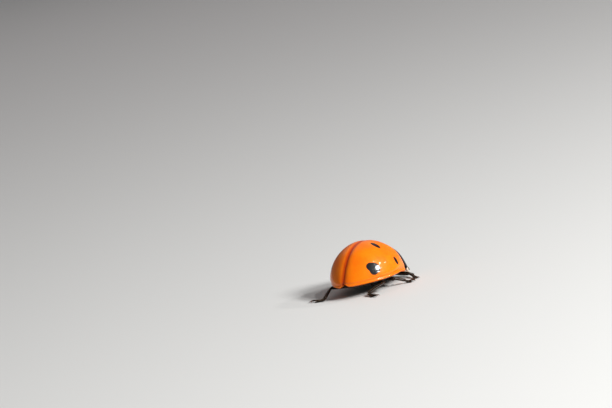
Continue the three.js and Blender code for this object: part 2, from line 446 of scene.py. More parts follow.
class Desk:
    """Builds one node material."""

    def __init__(self, name: str) -> None:
        """Starts an empty material that has only its shader and its output.

        Args:
            name: The material's name.
        """
        self.material = bpy.data.materials.new(name)
        self.material.use_nodes = True
        self.tree = self.material.node_tree
        self.shader = self.tree.nodes["Principled BSDF"]

    def node(self, kind: str, **settings: object) -> bpy.types.Node:
        """Adds a node and sets its own properties.

        Args:
            kind: The node's type.
            **settings: Values of the node's own properties.

        Returns:
            The new node.
        """
        made = self.tree.nodes.new(kind)
        for name, value in settings.items():
            setattr(made, name, value)
        return made

    def join(self, source: bpy.types.NodeSocket, target: bpy.types.NodeSocket) -> None:
        """Joins two sockets."""
        self.tree.links.new(source, target)

    def math(self, operation: str, first: object, second: object = 0.0) -> bpy.types.NodeSocket:
        """Adds a Math node on sockets or numbers, and gives its result.

        Args:
            operation: The sum to do.
            first: A socket or a number.
            second: Another one.

        Returns:
            The result.
        """
        made = self.node("ShaderNodeMath", operation=operation)
        for socket, value in zip(made.inputs, (first, second)):
            self.feed(socket, value)
        return made.outputs[0]

    def smooth_least(self, first: object, second: object, width: float) -> bpy.types.NodeSocket:
        """The smaller of two numbers, with the change from one to the other smoothed.

        Args:
            first: A socket or a number.
            second: Another one.
            width: How far the change is smoothed.

        Returns:
            The result.
        """
        made = self.node("ShaderNodeMath", operation="SMOOTH_MIN")
        for socket, value in zip(made.inputs, (first, second, width)):
            self.feed(socket, value)
        return made.outputs[0]

    def vector(self, operation: str, first: object, second: object) -> bpy.types.Node:
        """Adds a Vector Math node on sockets or vectors.

        Args:
            operation: The sum to do.
            first: A socket or a vector.
            second: Another one.

        Returns:
            The new node.
        """
        made = self.node("ShaderNodeVectorMath", operation=operation)
        for socket, value in zip(made.inputs, (first, second)):
            self.feed(socket, value)
        return made

    def feed(self, socket: bpy.types.NodeSocket, value: object) -> None:
        """Joins a socket to another, or sets its number.

        Args:
            socket: The input to set.
            value: A socket, or a plain value.
        """
        if isinstance(value, bpy.types.NodeSocket):
            self.join(value, socket)
        else:
            socket.default_value = value

    def spread(self, value: object, low: float, high: float, to_low: float = 0.0, to_high: float = 1.0,
               soft: bool = True) -> bpy.types.NodeSocket:
        """Maps a range of numbers to another one.

        Args:
            value: A socket or a number.
            low: The start of its range.
            high: The end of its range.
            to_low: What the start becomes.
            to_high: What the end becomes.
            soft: Whether the change eases in and out.

        Returns:
            The result.
        """
        made = self.node("ShaderNodeMapRange", interpolation_type="SMOOTHSTEP" if soft else "LINEAR")
        for name, number in (("From Min", low), ("From Max", high), ("To Min", to_low), ("To Max", to_high)):
            made.inputs[name].default_value = number
        self.feed(made.inputs["Value"], value)
        return made.outputs["Result"]

    def mix(self, share: object, first: object, second: object) -> bpy.types.NodeSocket:
        """Mixes two colours.

        Args:
            share: How much of the second colour there is.
            first: A socket or a colour.
            second: Another one.

        Returns:
            The mixed colour.
        """
        made = self.node("ShaderNodeMix", data_type="RGBA")
        self.feed(made.inputs["Factor"], share)
        colours = [socket for socket in made.inputs if socket.type == "RGBA"]
        for socket, value in zip(colours, (first, second)):
            self.feed(socket, (*value, 1.0) if isinstance(value, tuple) else value)
        return next(socket for socket in made.outputs if socket.type == "RGBA")

    def noise(self, place: bpy.types.NodeSocket, scale: float, detail: float = 2.0) -> bpy.types.NodeSocket:
        """A noise between 0 and 1, with its scale in blobs per millimetre.

        Args:
            place: Where the noise is read.
            scale: Blobs per millimetre.
            detail: Layers of finer blobs.

        Returns:
            The noise.
        """
        made = self.node("ShaderNodeTexNoise")
        made.inputs["Scale"].default_value = scale
        made.inputs["Detail"].default_value = detail
        self.join(place, made.inputs["Vector"])
        return made.outputs[0]


SKIN_SPECULAR = 0.1
GLOW_REACH: Colour = (1.0, 0.25, 0.05)
GLOW_DEPTH = 0.15


@dataclass(frozen=True)
class Chitin:
    """The hard skin of a beetle: a coloured layer under a clear, finely pitted one."""

    name: str
    colour: Colour
    deep_colour: Colour
    roughness: float = 0.35
    coat: float = 0.6
    coat_roughness: float = 0.12
    pit_spacing: float = 0.09
    pit_depth: float = 0.004
    ripple_depth: float = 0.0
    glow: float = 0.0
    faceted: bool = False
    marks: tuple[Mark, ...] = field(default_factory=tuple)

    def material(self) -> bpy.types.Material:
        """Builds the finish as a node material.

        Returns:
            The new material.
        """
        desk = Desk(self.name)
        place = self._place(desk)
        tone = desk.noise(place, 0.9, 3.0)
        colour = desk.mix(desk.spread(tone, 0.3, 0.7), self.colour, self.deep_colour)
        fine = desk.noise(place, 7.0, 3.0)
        edge = desk.noise(place, 3.2, 1.5)
        for mark in self.marks:
            colour = desk.mix(self._inside(desk, place, edge, mark), colour, mark.colour)
        desk.join(colour, desk.shader.inputs["Base Color"])
        self._gloss(desk, fine)
        self._relief(desk, place)
        return desk.material

    def _place(self, desk: Desk) -> bpy.types.NodeSocket:
        """The place on the body in millimetres, folded to the left side, so that every mark is mirrored.

        Args:
            desk: The material's desk.

        Returns:
            The place.
        """
        source = desk.node("ShaderNodeTexCoord").outputs["Object"]
        scaled = desk.vector("MULTIPLY", source, (1 / MILLIMETRE,) * 3).outputs[0]
        split = desk.node("ShaderNodeSeparateXYZ")
        desk.join(scaled, split.inputs[0])
        whole = desk.node("ShaderNodeCombineXYZ")
        desk.join(desk.math("ABSOLUTE", split.outputs[0]), whole.inputs[0])
        desk.join(split.outputs[1], whole.inputs[1])
        desk.join(split.outputs[2], whole.inputs[2])
        return whole.outputs[0]

    def _inside(self, desk: Desk, place: bpy.types.NodeSocket, edge: bpy.types.NodeSocket,
                mark: Mark) -> bpy.types.NodeSocket:
        """How far a point is inside a mark, from 0 to 1.

        Args:
            desk: The material's desk.
            place: The place on the body.
            edge: The noise that makes the mark's edge uneven.
            mark: The mark.

        Returns:
            The share.
        """
        nearest = None
        for centre in (mark.centre, *mark.corners):
            offset = desk.vector("SUBTRACT", place, tuple(centre)).outputs[0]
            share = desk.vector("DIVIDE", offset, mark.radii).outputs[0]
            length = desk.node("ShaderNodeVectorMath", operation="LENGTH")
            desk.join(share, length.inputs[0])
            reach = length.outputs["Value"]
            nearest = reach if nearest is None else desk.smooth_least(nearest, reach, mark.flow)
        wobble = desk.spread(edge, 0.3, 0.7, -mark.ragged, mark.ragged, soft=False)
        return desk.spread(desk.math("ADD", nearest, wobble), 1 + mark.edge, 1 - mark.edge)

    def _gloss(self, desk: Desk, fine: bpy.types.NodeSocket) -> None:
        """Sets how the surface shines.

        Args:
            desk: The material's desk.
            fine: The fine noise.
        """
        shader = desk.shader
        rough = desk.spread(fine, 0.3, 0.7, self.roughness * 0.85, self.roughness * 1.15, soft=False)
        desk.join(rough, shader.inputs["Roughness"])
        shader.inputs["Specular IOR Level"].default_value = SKIN_SPECULAR
        shader.inputs["Coat Weight"].default_value = self.coat
        shader.inputs["Coat Roughness"].default_value = self.coat_roughness
        if self.glow:
            shader.inputs["Subsurface Weight"].default_value = self.glow
            shader.inputs["Subsurface Radius"].default_value = GLOW_REACH
            shader.inputs["Subsurface Scale"].default_value = GLOW_DEPTH * MILLIMETRE

    def _relief(self, desk: Desk, place: bpy.types.NodeSocket) -> None:
        """Adds the pits and the faint ripple of the surface.

        Args:
            desk: The material's desk.
            place: The place on the body.
        """
        cells = desk.node("ShaderNodeTexVoronoi")
        cells.inputs["Scale"].default_value = 1 / self.pit_spacing
        desk.join(place, cells.inputs["Vector"])
        if self.faceted:
            cells.feature = "DISTANCE_TO_EDGE"
        pits = desk.spread(cells.outputs["Distance"], 0.0, 0.28)
        bump = desk.node("ShaderNodeBump")
        bump.inputs["Strength"].default_value = 1.0
        bump.inputs["Distance"].default_value = self.pit_depth * MILLIMETRE
        desk.join(pits, bump.inputs["Height"])
        last = bump
        if self.ripple_depth:
            ripple = desk.node("ShaderNodeBump")
            ripple.inputs["Strength"].default_value = 1.0
            ripple.inputs["Distance"].default_value = self.ripple_depth * MILLIMETRE
            desk.join(desk.noise(place, 2.2, 2.0), ripple.inputs["Height"])
            desk.join(last.outputs[0], ripple.inputs["Normal"])
            last = ripple
        desk.join(last.outputs[0], desk.shader.inputs["Normal"])
        desk.join(last.outputs[0], desk.shader.inputs["Coat Normal"])


# ---- Rounded forms -----------------------------------------------------------------------------


@dataclass(frozen=True)
class Dome:
    """A bulge over a boxy oval outline, with a shallower one below it, in a frame tipped towards the head."""

    centre: Vector
    half_width: float
    front: float
    rear: float
    rise: float
    sink: float
    plan_power: float = 1.9
    rise_power: float = 1.8
    pitch: float = 0.0
    softness: float = 0.02

    @property
    def matrix(self) -> Matrix:
        """Takes the dome's own frame to the body's."""
        return Matrix.Translation(self.centre) @ Matrix.Rotation(self.pitch, 4, "X")

    def _power(self, share: float, power: float) -> float:
        """A power of a share from 0 to 1 that stays round at 0.

        Args:
            share: The share.
            power: The power.

        Returns:
            The power of it, still 0 at 0 and 1 at 1.
        """
        low = self.softness ** (power / 2)
        high = (1 + self.softness) ** (power / 2)
        return ((share * share + self.softness) ** (power / 2) - low) / (high - low)

    def outline(self, turn: float) -> float:
        """How far the outline is from the centre in a direction.

        Args:
            turn: The direction, as an angle from +X.

        Returns:
            The distance.
        """
        length = self.front if math.sin(turn) < 0 else self.rear
        across = self._power(abs(math.cos(turn)), self.plan_power) / self.half_width**self.plan_power
        along = self._power(abs(math.sin(turn)), self.plan_power) / length**self.plan_power
        return (across + along) ** (-1 / self.plan_power)

    def bulge(self, spread: float) -> float:
        """The share of the full height at a share of the way out to the outline."""
        return math.sqrt(max(0.0, 1 - self._power(min(1.0, spread), self.rise_power)))

    def top(self, x: float, y: float) -> float:
        """The height of the upper bulge in the dome's own frame."""
        spread = math.hypot(x, y) / self.outline(math.atan2(y, x))
        return self.rise * self.bulge(spread)

    def level_place(self, point: Vector) -> Vector:
        """Where a point of the unit ball goes, in the dome's own frame.

        Args:
            point: A point of the unit ball.

        Returns:
            Its place on the dome.
        """
        spread = min(1.0, math.hypot(point.x, point.y))
        turn = math.atan2(point.y, point.x)
        reach = spread * self.outline(turn)
        tall = self.rise if point.z >= 0 else -self.sink
        return Vector((reach * math.cos(turn), reach * math.sin(turn), tall * self.bulge(spread)))

    def shaped(self, cuts: int, gather: float = 0.0) -> bpy.types.Object:
        """A ball with the dome's form, in its own frame.

        Args:
            cuts: Cuts of each side of the cube that the ball is made from.
            gather: How far the rows are drawn towards the lower edge, from 0 to less than 1.

        Returns:
            The new piece.
        """

        def lowered(point: Vector) -> Vector:
            """Draws a point of the ball towards the lower edge.

            Args:
                point: The point.

            Returns:
                Its new place on the ball.
            """
            rise = math.asin(max(-1.0, min(1.0, point.z)))
            rise -= gather * math.sin(2 * rise) / 2
            flat = Vector((point.x, point.y, 0))
            if flat.length > 0:
                flat = flat.normalized() * math.cos(rise)
            return Vector((flat.x, flat.y, math.sin(rise)))

        piece = ball(cuts)
        reshape(piece, lambda place, _: self.level_place(lowered(place)))
        return piece


def bump(distance: float, width: float) -> float:
    """A smooth hump, 1 in its middle."""
    return math.exp(-((distance / width) ** 2))


@dataclass(frozen=True)
class Hump:
    """A smooth ridge, or a groove, that fades out to both sides of its middle."""

    height: float
    width: float
    middle: float = 0.0

    def rise(self, distance: float) -> float:
        """How high the ridge is at a distance along the surface."""
        return self.height * bump(distance - self.middle, self.width)


SHELL = Dome(at(0, 0, MARGIN_HEIGHT), half_width=2.8, front=3.45, rear=2.95, rise=2.86, sink=0.36)
PLATE = Dome(
    at(1.75, 0, MARGIN_HEIGHT + 0.15),
    half_width=1.9,
    front=1.87,
    rear=1.87,
    rise=2.0,
    sink=0.3,
    plan_power=3.2,
    pitch=math.radians(20),
)
COLLAR_FRONT = 2.3
COLLAR_RADIUS = 5.0


def collar(x: float) -> float:
    """The y of the shell's front edge, an arc whose middle lies furthest back."""
    return FRONT_SHIFT - (COLLAR_FRONT + COLLAR_RADIUS) + math.sqrt(COLLAR_RADIUS**2 - x * x)


# ---- Shell -------------------------------------------------------------------------------------

BLACK: Colour = (0.006, 0.006, 0.008)
CREAM: Colour = (0.80, 0.66, 0.52)


def rear_spot(shift: float) -> Mark:
    """The rear spot, its four eggs moved forward by a shift.

    Args:
        shift: How far forward the spot lies of its usual place.

    Returns:
        The mark.
    """
    return Mark(
        at(shift - 1.74, 1.75, 2.17),
        (0.27, 0.27, 0.27),
        BLACK,
        ragged=0.03,
        corners=(at(shift - 1.41, 2.15, 1.9), at(shift - 1.69, 2.02, 1.75), at(shift - 1.52, 1.99, 2.08)),
        flow=1.8,
    )


# The shell's spots and pale marks, with a band of painted shade along the seam.
SHELL_MARKS_AND_SEAM_SHADE = (
    # Painted shade: a dark red band along the seam, standing in for the shade that falls in the seam's crease.
    Mark(at(0, 0, 3), (0.17, 40, 40), (0.50, 0.045, 0.001), 0.8, 0.02),
    Mark(at(2.2, 0.5, 3.1), (0.22, 0.2, 0.6), CREAM, 0.12),
    Mark(at(1.85, 0, 3.35), (0.4, 0.52, 0.9), BLACK),
    Mark(at(0.13, 1.33, 3.35), (0.42, 0.22, 0.6), BLACK),
    Mark(at(0.72, 2.53, 1.90), (0.4, 0.20, 0.35), BLACK),
)


@dataclass
class WingCases:
    """The two domed wing cases that meet in a seam, with seven spots."""

    half_gap: float = 0.004
    wall: float = 0.08
    edge_bevel: float = 0.012
    seam: Hump = Hump(0.075, 0.24)
    seam_start: float = 0.25
    seam_run: float = 2.4
    crease: Hump = Hump(0.02, 0.05)
    bead: Hump = Hump(0.032, 0.075, 0.05)
    gutter: Hump = Hump(0.03, 0.08, 0.2)
    flank: Hump = Hump(1.0, 0.9, 0.4)
    flank_gain: float = 2.5
    rolled_edge: Hump = Hump(0.06, 0.07)
    shoulder: Hump = Hump(0.05, 0.42)
    shoulder_forward: float = 1.85
    shoulder_out: float = 1.72
    corner_swell: Hump = Hump(0.12, 0.45, 1.9)
    corner_level: Hump = Hump(1.0, 0.4, 0.1)
    corner_drop: Hump = Hump(0.24, 0.8, 2.0)
    low_height: float = 0.8
    point: float = 0.3
    point_width: float = 2.0
    point_height: float = 1.6
    point_start: float = -1.0
    arch: Hump = Hump(0.2, 0.3)
    arch_height: float = 0.6
    left_lift: float = 0.05
    right_lift: float = 0.12
    left_spot_shift: float = 0.25
    tuck: float = 0.034
    tuck_height: float = 0.7
    scutellum_width: float = 0.36
    scutellum_length: float = 0.5
    clear_width: float = 0.7
    clear_length: float = 0.75
    finish: Chitin = field(
        default_factory=lambda: Chitin(
            name="orange shell",
            colour=(0.93, 0.20, 0.001),
            deep_colour=(0.90, 0.155, 0.001),
            roughness=0.4,
            coat=0.42,
            coat_roughness=0.06,
            pit_spacing=0.085,
            pit_depth=0.002,
            ripple_depth=0.012,
            glow=0.12,
            marks=(*SHELL_MARKS_AND_SEAM_SHADE, rear_spot(0.0)),
        )
    )

    def build(self) -> None:
        """Builds the two wing cases; the right one lies a little higher along its margin."""
        pattern = self._case(self.right_lift)
        right = mirrored(pattern)
        removed([pattern])
        finished(right, "wing_case_right", ["elytron_right"], self.finish.material())
        # The left case's marks, with the band of painted shade along the seam among them, and its rear spot moved
        # forward.
        left_marks_and_seam_shade = (*SHELL_MARKS_AND_SEAM_SHADE, rear_spot(self.left_spot_shift))
        left_finish = replace(self.finish, name="orange shell, left", marks=left_marks_and_seam_shade)
        left = self._case(self.left_lift)
        finished(left, "wing_case_left", ["elytron_left"], left_finish.material())

    def _case(self, lift: float) -> bpy.types.Object:
        """A left wing case in millimetres, with its margin raised by a lift.

        Args:
            lift: How much higher the margin lies.

        Returns:
            The new piece.
        """
        piece = SHELL.shaped(cuts=83, gather=0.6)
        settle(piece, SHELL.matrix)
        cut(piece, (0, 0, MARGIN_HEIGHT), (0, 0, -1), clear=True)
        cut(piece, (self.half_gap, 0, 0), (-1, 0, 0), clear=True)
        cut_along(piece, collar, ahead=True)
        self._clear_scutellum(piece)
        self._fold_edge(piece)
        reshape(piece, self._sculpt)
        reshape(piece, lambda place, _: self._stretched(place, lift))
        modify(piece, "SOLIDIFY", thickness=self.wall, offset=-1, use_even_offset=True)
        rounded(piece, self.edge_bevel)
        face_out(piece)
        return piece

    def _clear_scutellum(self, piece: bpy.types.Object) -> None:
        """Cuts the corner away where the small triangle lies.

        Args:
            piece: The wing case.
        """
        corner = collar(0)
        slant = (-self.scutellum_length, -self.scutellum_width, 0)

        def near_corner(face: bmesh.types.BMFace) -> bool:
            """Whether a face lies round the corner."""
            middle = face.calc_center_median()
            return middle.x < self.clear_width and middle.y < corner + self.clear_length

        with editing(piece):
            pick(piece, Element.FACE, near_corner)
            bpy.ops.mesh.bisect(plane_co=(0, corner + self.scutellum_length, 0), plane_no=slant, clear_outer=True)

    def _sculpt(self, place: Vector, normal: Vector) -> Vector:
        """Presses in the seam and the gutter, and raises the rim and the shoulder.

        Args:
            place: A vertex's place.
            normal: The skin's normal there.

        Returns:
            The new place.
        """
        above = place.z - MARGIN_HEIGHT
        forward = FRONT_SHIFT - place.y
        flank = self.flank.rise(forward)
        swell = self.bead.rise(above) * (1 + self.flank_gain * flank) - self.gutter.rise(above) * (1 + flank)
        backwards = max(0.0, min(1.0, (place.y - collar(0)) / self.seam_run))
        swell -= self.seam.rise(place.x) * (self.seam_start + (1 - self.seam_start) * backwards)
        swell -= self.crease.rise(place.x) + self.rolled_edge.rise(place.y - collar(place.x))
        swell += self.shoulder.rise(math.hypot(place.x - self.shoulder_out, forward - self.shoulder_forward))
        push = normal * swell
        tuck = self.tuck * max(0.0, 1 - above / self.tuck_height) ** 2.6
        inward = Vector((place.x, place.y - SHELL.centre.y, 0)) * tuck
        if place.x < self.half_gap + 1e-4:
            push.x = inward.x = 0
        return place + push - inward

    def _stretched(self, place: Vector, lift: float) -> Vector:
        """Draws the rear end out to a point, arches the margin, and lowers its front corner.

        Args:
            place: A vertex's place.
            lift: How much higher the margin lies.

        Returns:
            The new place.
        """
        above = place.z - MARGIN_HEIGHT
        forward = FRONT_SHIFT - place.y
        low = max(0.0, 1 - above / self.low_height)
        rise = (lift - self.corner_drop.rise(forward)) * low
        back = 0.0
        if forward < self.point_start:
            back = self.point * max(0.0, 1 - above / self.point_height) ** 1.2
            back *= max(0.0, 1 - (place.x / self.point_width) ** 2) ** 1.5
            rise += self.arch.rise(place.x) * max(0.0, 1 - above / self.arch_height)
        out = self.corner_swell.rise(forward) * self.corner_level.rise(above) if place.x > 1 else 0.0
        return place + Vector((out, back, rise))

    def _fold_edge(self, piece: bpy.types.Object) -> None:
        """Folds the lower edge inwards under the body.

        Args:
            piece: The wing case.
        """
        with editing(piece):
            pick(piece, Element.EDGE, lambda e: e.is_boundary and all(v.co.z < MARGIN_HEIGHT + 0.004 for v in e.verts))
            folded(((0.03, 0.998), (0.02, 0.985), (-0.01, 0.93), (-0.05, 0.9)), SHELL.centre)


@dataclass
class Scutellum:
    """The small black triangle between the front corners of the wing cases."""

    half_width: float = 0.34
    length: float = 0.46
    thickness: float = 0.1
    edge_bevel: float = 0.02
    lift: float = -0.025
    swell: float = 0.015

    def build(self, finish: Chitin) -> None:
        """Builds the triangle as a plate that follows the shell.

        Args:
            finish: The triangle's finish.
        """
        corner = collar(0)
        clear_selection()
        bpy.ops.mesh.primitive_grid_add(x_subdivisions=30, y_subdivisions=30, size=1.2, location=(0, corner, 0))
        piece = bpy.context.object
        bpy.ops.object.transform_apply(location=True, rotation=True, scale=True)
        tip = (0, corner + self.length, 0)
        for side in (1, -1):
            cut(piece, tip, (side * self.length, self.half_width, 0), clear=True)
        cut_along(piece, lambda x: collar(x) - 0.03, ahead=True)
        merge(piece, 0.02)
        reshape(piece, self._draped)
        modify(piece, "SOLIDIFY", thickness=self.thickness, offset=-1)
        rounded(piece, self.edge_bevel, segments=3, angle=50)
        face_out(piece)
        finished(piece, "scutellum_plate", ["scutellum"], finish.material())

    def _draped(self, place: Vector, _: Vector) -> Vector:
        """Lays a flat point on the shell's dome.

        Args:
            place: A vertex's place.
            _: Its normal, which has no part in it.

        Returns:
            The new place.
        """
        top = SHELL.top(place.x, place.y - SHELL.centre.y)
        middle = bump(place.x, 0.16) * bump(place.y - collar(0) - 0.1, 0.2)
        return Vector((place.x, place.y, MARGIN_HEIGHT + top + self.lift + self.swell * middle))


@dataclass
class BackPlate:
    """The black back plate over the front of the body, with a pale patch at each front corner."""

    wall: float = 0.08
    gap: float = 0.03
    corner: tuple[float, float, float] = (0.34, -0.02, -0.26)
    corner_spread: tuple[Hump, Hump, Hump] = (Hump(1.0, 0.5, 1.5), Hump(1.0, 0.7, -1.4), Hump(1.0, 0.55))
    edge_bevel: float = 0.014
    notch_radius: float = 2.5
    notch_front: float = 1.35
    bead: Hump = Hump(0.03, 0.04, 0.02)
    gutter: Hump = Hump(0.02, 0.07, 0.14)
    front_fold: Hump = Hump(0.05, 0.06)
    sag: Hump = Hump(0.05, 1.6)

    def build(self) -> None:
        """Builds and dresses the plate."""
        piece = PLATE.shaped(cuts=47, gather=0.5)
        cut(piece, (0, 0, 0), (0, 0, -1), clear=True)
        cut_along(piece, self._notch, ahead=True)
        merge(piece, 0.015)
        self._fold_edge(piece)
        reshape(piece, self._sculpt)
        settle(piece, PLATE.matrix)
        cut_along(piece, lambda x: collar(x) - self.gap, ahead=False)
        merge(piece, 0.012)
        modify(piece, "SOLIDIFY", thickness=self.wall, offset=-1)
        rounded(piece, self.edge_bevel)
        face_out(piece)
        finish = Chitin(
            name="black back plate",
            colour=BLACK,
            deep_colour=(0.010, 0.009, 0.011),
            roughness=0.34,
            coat=0.5,
            coat_roughness=0.12,
            pit_spacing=0.055,
            pit_depth=0.0012,
            marks=(Mark(at(3.0, 1.95, 0.31), (0.5, 0.55, 0.48), (0.60, 0.50, 0.40), 0.05, 0.04),),
        )
        finished(piece, "back_plate", ["pronotum"], finish.material())

    def _notch(self, x: float) -> float:
        """The y of the hollow front edge, in the plate's own frame."""
        return math.sqrt(max(0.0, self.notch_radius**2 - x * x)) - self.notch_front - self.notch_radius

    def _sculpt(self, place: Vector, normal: Vector) -> Vector:
        """Raises the side rims and rounds the front edge down.

        Args:
            place: A vertex's place.
            normal: The skin's normal there.

        Returns:
            The new place.
        """
        swell = self.bead.rise(place.z) - self.gutter.rise(place.z)
        swell -= self.front_fold.rise(place.y - self._notch(place.x)) + self.sag.rise(place.x)
        across, along, up = self.corner_spread
        corner = across.rise(abs(place.x)) * along.rise(place.y) * up.rise(place.z)
        side = 1 if place.x > 0 else -1
        return place + normal * swell + corner * Vector((side * self.corner[0], self.corner[1], self.corner[2]))

    def _on_side_edge(self, place: Vector) -> bool:
        """Whether a place is on the plate's lower edge, and not on its front one."""
        return place.z < 0.005 and place.y > self._notch(place.x) + 0.02

    def _fold_edge(self, piece: bpy.types.Object) -> None:
        """Folds the side edges inwards under the plate.

        Args:
            piece: The plate.
        """
        with editing(piece):
            pick(piece, Element.EDGE, lambda e: e.is_boundary and all(self._on_side_edge(v.co) for v in e.verts))
            folded(((0.03, 0.995), (0.0, 0.97), (-0.03, 0.88), (-0.04, 0.85)), Vector((0, 0, 0)))


# ---- Trunk -------------------------------------------------------------------------------------

FRONT_HIP: Place = (2.7, 0.6, 0.45)
MIDDLE_HIP: Place = (1.0, 1.0, 0.5)
HIND_HIP: Place = (-0.5, 1.05, 0.5)


@dataclass
class Underside:
    """The chest, the thorax and the belly, with the knobs of the hips."""

    inset: float = 0.52
    chest_inset: float = 0.22
    neck_inset: float = 0.5
    waist: float = -0.35
    joint: float = 0.02
    groove: float = 0.055
    step: float = 0.06
    belly_edges: tuple[float, ...] = (-0.35, -0.98, -1.42, -1.8, -2.15, -2.9)
    tail: float = 0.4
    hip_radii: tuple[float, float, float] = (0.42, 0.27, 0.2)
    hip_turn: float = math.radians(18)
    keel: Hump = Hump(0.05, 0.14)
    keel_side: Hump = Hump(0.03, 0.1, 0.28)
    midline: Hump = Hump(0.7, 0.045)
    front_seam: Hump = Hump(1.0, 0.06, 1.42)
    middle_seam: Hump = Hump(1.0, 0.055, 0.68)
    hind_seam: Hump = Hump(0.6, 0.05, -0.12)
    side_seam: Hump = Hump(1.0, 0.055, 1.72)
    side_swell: Hump = Hump(0.8, 0.2, 1.95)
    ring_bow: float = 0.05
    ring_lip: float = 0.12

    def build(self) -> None:
        """Builds the three parts of the trunk."""
        finish = Chitin(
            name="black underside",
            colour=(0.009, 0.008, 0.008),
            deep_colour=(0.016, 0.012, 0.010),
            roughness=0.42,
            coat=0.25,
            coat_roughness=0.25,
            pit_spacing=0.06,
            pit_depth=0.005,
            marks=(
                Mark(at(1.5, 2.0, 0.72), (0.30, 0.26, 0.22), CREAM, 0.1, 0.1),
                Mark(at(0.1, 2.1, 0.78), (0.14, 0.16, 0.16), CREAM, 0.1, 0.1),
            ),
        )
        material = finish.material()
        hair_material = hair_finish().material()
        for name, node, piece in (
            ("chest", "prothorax", self._chest()),
            ("thorax_plates", "thorax", self._thorax()),
            ("belly", "abdomen", self._belly()),
        ):
            coat = self._hairs(piece)
            finished(piece, name, [node], material)
            finished(coat, f"{name}_hairs", [node], hair_material)

    def _hairs(self, skin: bpy.types.Object) -> bpy.types.Object:
        """Fine hairs that lie back along the lower side."""
        return Hairs(260, 0.11, 0.006, Vector((0, 1.3, 0)), seed=21, wanted=lambda p, n: n.z < -0.15).on(skin)

    def _trunk(self) -> bpy.types.Object:
        """The whole rounded trunk under the wing cases.

        Returns:
            The new piece.
        """
        inset = self.inset
        form = Dome(
            SHELL.centre,
            half_width=SHELL.half_width - inset,
            front=SHELL.front - inset,
            rear=SHELL.rear - inset,
            rise=SHELL.rise - inset,
            sink=SHELL.sink,
        )
        piece = form.shaped(cuts=87)
        return settle(piece, form.matrix)

    def _hips(self, place: Place) -> list[bpy.types.Object]:
        """The two knobs of one pair of hips.

        Args:
            place: How far forward, out and up the left one is.

        Returns:
            The left knob and the right one.
        """
        forward, out, up = place
        size = Matrix.Diagonal((*self.hip_radii, 1))
        knobs = []
        for side in Side:
            turn = Matrix.Rotation(side.value * self.hip_turn, 4, "Z")
            root = Matrix.Translation(at(forward, side.value * (out - 0.1), up))
            knobs.append(settle(ball(7), root @ turn @ size))
        return knobs

    def _chest(self) -> bpy.types.Object:
        """The part under the back plate, with a keel between the front hips.

        Returns:
            The new piece.
        """
        form = Dome(
            PLATE.centre,
            half_width=PLATE.half_width - self.chest_inset,
            front=PLATE.front - self.neck_inset,
            rear=PLATE.rear - self.chest_inset,
            rise=PLATE.rise - self.chest_inset,
            sink=PLATE.sink,
            plan_power=PLATE.plan_power,
            pitch=PLATE.pitch,
        )
        piece = form.shaped(cuts=31)
        settle(piece, form.matrix)
        cut_along(piece, lambda x: collar(x) - 0.02, ahead=False, fill=True)
        reshape(piece, self._keel)
        return joined([piece, *self._hips(FRONT_HIP)])

    def _keel(self, place: Vector, normal: Vector) -> Vector:
        """Raises the keel between the front hips."""
        under = max(0.0, -normal.z)
        return place + normal * under * (self.keel.rise(place.x) - self.keel_side.rise(abs(place.x)))

    def _thorax(self) -> bpy.types.Object:
        """The part that bears the middle and the hind legs.

        Returns:
            The new piece.
        """
        piece = self._trunk()
        cut(piece, at(self.waist, 0, 0), (0, 1, 0), clear=True, fill=True)
        cut_along(piece, collar, ahead=True, fill=True)
        reshape(piece, self._thorax_plates)
        return joined([piece, *self._hips(MIDDLE_HIP), *self._hips(HIND_HIP)])

    def _thorax_plates(self, place: Vector, normal: Vector) -> Vector:
        """Presses in the seams between the plates of the thorax.

        Args:
            place: A vertex's place.
            normal: The skin's normal there.

        Returns:
            The new place.
        """
        under = max(0.0, -normal.z) ** 0.5
        forward = FRONT_SHIFT - place.y
        out = abs(place.x)
        dent = self.midline.rise(out) if forward < 0.75 else 0.0
        dent += self.front_seam.rise(forward - 0.10 * out) * (1 if out > 0.35 else 0.3)
        if out < 1.75:
            dent += self.middle_seam.rise(forward - 0.16 * math.cos(2.4 * out))
        dent += self.side_seam.rise(out - 0.16 * forward)
        dent -= self.side_swell.rise(out) * bump(forward - 1.5, 0.3)
        if out < 1.5:
            dent += self.hind_seam.rise(forward + 0.25 * math.cos(1.6 * out))
        return place - normal * self.groove * under * dent

    def _belly(self) -> bpy.types.Object:
        """The belly, with a groove between each ring and the next.

        Returns:
            The new piece.
        """
        piece = self._trunk()
        cut(piece, at(self.waist - self.joint, 0, 0), (0, -1, 0), clear=True, fill=True)
        reshape(piece, self._belly_rings)
        reshape(piece, self._tailed)
        return piece

    def _tailed(self, place: Vector, _: Vector) -> Vector:
        """Draws the end of the belly out towards the tips of the wing cases."""
        back = max(0.0, place.y - FRONT_SHIFT - 1) / 1.5
        return place + Vector((0, self.tail * back**2 * bump(place.x, 0.9) * bump(place.z - 0.8, 0.5), 0))

    def _belly_rings(self, place: Vector, normal: Vector) -> Vector:
        """Lets each ring of the belly overlap the front of the next with a low step.

        Args:
            place: A vertex's place.
            normal: The skin's normal there.

        Returns:
            The new place.
        """
        under = max(0.0, -normal.z) ** 0.5
        forward = FRONT_SHIFT - place.y
        for front, rear in zip(self.belly_edges, self.belly_edges[1:]):
            bow = self.ring_bow * place.x * place.x * (1 - rear / 4)
            share = (front - (forward - bow)) / (front - rear)
            if 0 <= share < 1:
                lift = min(share**1.5, (1 - share) / self.ring_lip)
                return place + normal * self.step * under * (lift - 0.8)
        return place


# ---- Head --------------------------------------------------------------------------------------


